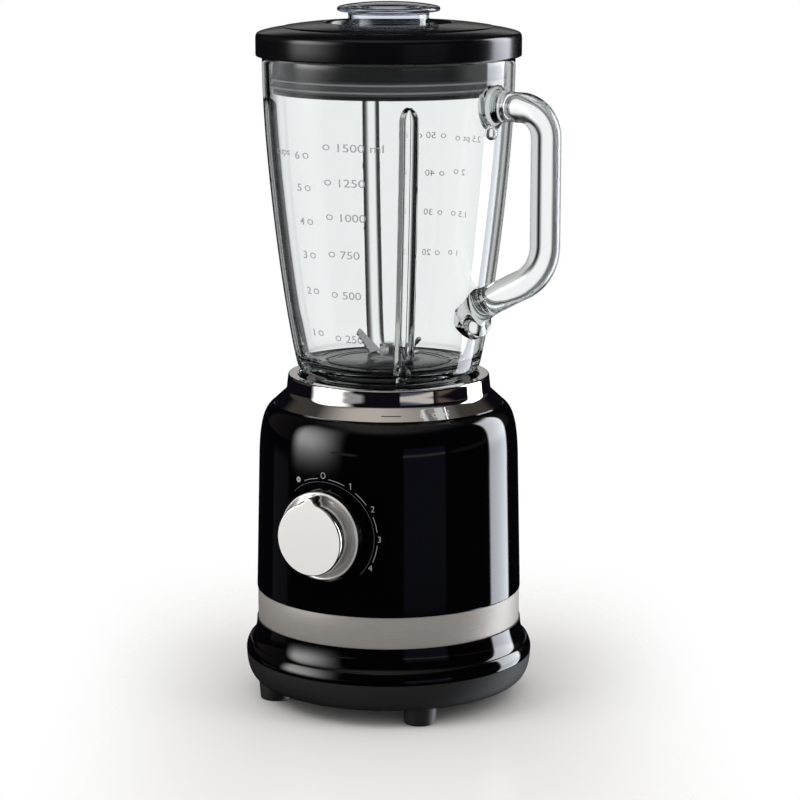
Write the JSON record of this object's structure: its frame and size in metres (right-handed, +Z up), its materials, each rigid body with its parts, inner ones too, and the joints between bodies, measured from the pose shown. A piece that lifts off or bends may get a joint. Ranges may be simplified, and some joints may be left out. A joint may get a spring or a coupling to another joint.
{
  "type": "countertop blender",
  "caption": "Upright countertop blender with a glossy round motor base, steel band, chrome collar and knob, ribbed glass jug with a bar handle, domed lid and clear measuring cap.",
  "frame": {"origin": "on the vertical axis of the motor and jug, at the level of the underside of the feet", "axes": "+Z up along the motor axis, -Y through the control knob at the front, +X towards the side with the jug handle (the handle itself stands 5.5 degrees round from +X towards the front)"},
  "size_m": [0.2079, 0.1824, 0.424],
  "materials": {
    "charcoal_plastic": "matt, fine texture",
    "foot_rubber": "matt",
    "gloss_black": "high gloss",
    "brushed_band": "brushed round the band",
    "bright_chrome": "mirror",
    "black_plastic": "semi-matt",
    "screw_steel": "zinc plated",
    "spring_steel": "plain",
    "board_green": "solder mask",
    "capacitor_yellow": "moulded",
    "lamination_steel": "laminated",
    "copper_wire": "enamelled copper",
    "bracket_alloy": "die cast",
    "carbon_black": "carbon",
    "soft_rubber": "soft",
    "coupling_rubber": "hard rubber",
    "clear_glass": "clear, fire polished",
    "bronze_bush": "sintered",
    "blade_steel": "satin",
    "satin_black": "satin gloss",
    "clear_silicone": "translucent",
    "clear_cap": "clear, faint blue-grey"
  },
  "bodies": {
    "base": {"bottom_cover": "charcoal_plastic", "rubber_feet": "foot_rubber", "base_ring": "gloss_black", "cover_screws": "screw_steel", "steel_band": "brushed_band", "motor_housing": "gloss_black", "housing_screws": "screw_steel", "collar_ring": "bright_chrome", "collar_screws": "screw_steel", "jug_seat": "black_plastic", "cord_gland": "black_plastic", "speed_switch": "black_plastic", "switch_nut": "screw_steel", "circuit_board": "board_green", "filter_capacitor": "capacitor_yellow", "micro_switch": "black_plastic", "interlock_spring": "spring_steel", "motor_stator": "lamination_steel", "field_coils": "copper_wire", "lower_bearing": "screw_steel", "upper_bearing": "screw_steel", "upper_bracket": "bracket_alloy", "lower_bracket": "bracket_alloy", "motor_screws": "screw_steel", "vibration_mounts": "soft_rubber", "brush_holders": "black_plastic", "carbon_brushes": "carbon_black", "brush_springs": "spring_steel"},
    "rotor": {"motor_shaft": "screw_steel", "armature_core": "lamination_steel", "armature_windings": "copper_wire", "commutator": "copper_wire", "cooling_fan": "black_plastic", "drive_coupling": "coupling_rubber"},
    "knob": {"control_knob": "bright_chrome", "switch_shaft": "screw_steel"},
    "interlock": {"interlock_pin": "black_plastic"},
    "gasket": {"jug_gasket": "soft_rubber"},
    "jug": {"glass_jug": "clear_glass", "blade_carrier": "black_plastic", "jug_base_ring": "black_plastic", "blade_bush": "bronze_bush", "shaft_seal": "soft_rubber"},
    "blades": {"blade_shaft": "screw_steel", "lower_blade": "blade_steel", "upper_blade": "blade_steel", "blade_washer": "blade_steel", "blade_nut": "blade_steel", "driven_coupling": "coupling_rubber"},
    "lid": {"lid": "satin_black", "lid_seal": "clear_silicone"},
    "cap": {"measuring_cap": "clear_cap"}
  },
  "joints": [
    {"name": "motor_spin", "type": "hinge", "parent": "base", "child": "rotor", "pos_m": [0, 0, 0.107], "axis": [0, 0, 1], "continuous": true},
    {"name": "knob_turn", "type": "hinge", "parent": "base", "child": "knob", "pos_m": [0, 0, 0.115], "axis": [0, 1, 0], "range_deg": [-30, 120]},
    {"name": "jug_lift", "type": "slide", "parent": "base", "child": "gasket", "axis": [0, 0, 1], "range_m": [0, 0.15]},
    {"name": "jug_twist", "type": "hinge", "parent": "gasket", "child": "jug", "pos_m": [0, 0, 0.179], "axis": [0, 0, 1], "range_deg": [0, 15]},
    {"name": "blade_spin", "type": "hinge", "parent": "jug", "child": "blades", "pos_m": [0, 0, 0.2], "axis": [0, 0, 1], "continuous": true},
    {"name": "lid_lift", "type": "slide", "parent": "jug", "child": "lid", "axis": [0, 0, 1], "range_m": [0, 0.06]},
    {"name": "cap_lift", "type": "slide", "parent": "lid", "child": "cap", "axis": [0, 0, 1], "range_m": [0, 0.06]},
    {"name": "interlock_pin_rise", "type": "slide", "parent": "base", "child": "interlock", "axis": [0, 0, 1], "range_m": [0, 0.003], "deforming": ["interlock_spring"]}
  ],
  "couplings": [
    {"joint": "blade_spin", "follows": "motor_spin", "ratio": 1},
    {"joint": "interlock_pin_rise", "follows": "jug_lift", "ratio": 0.02}
  ]
}
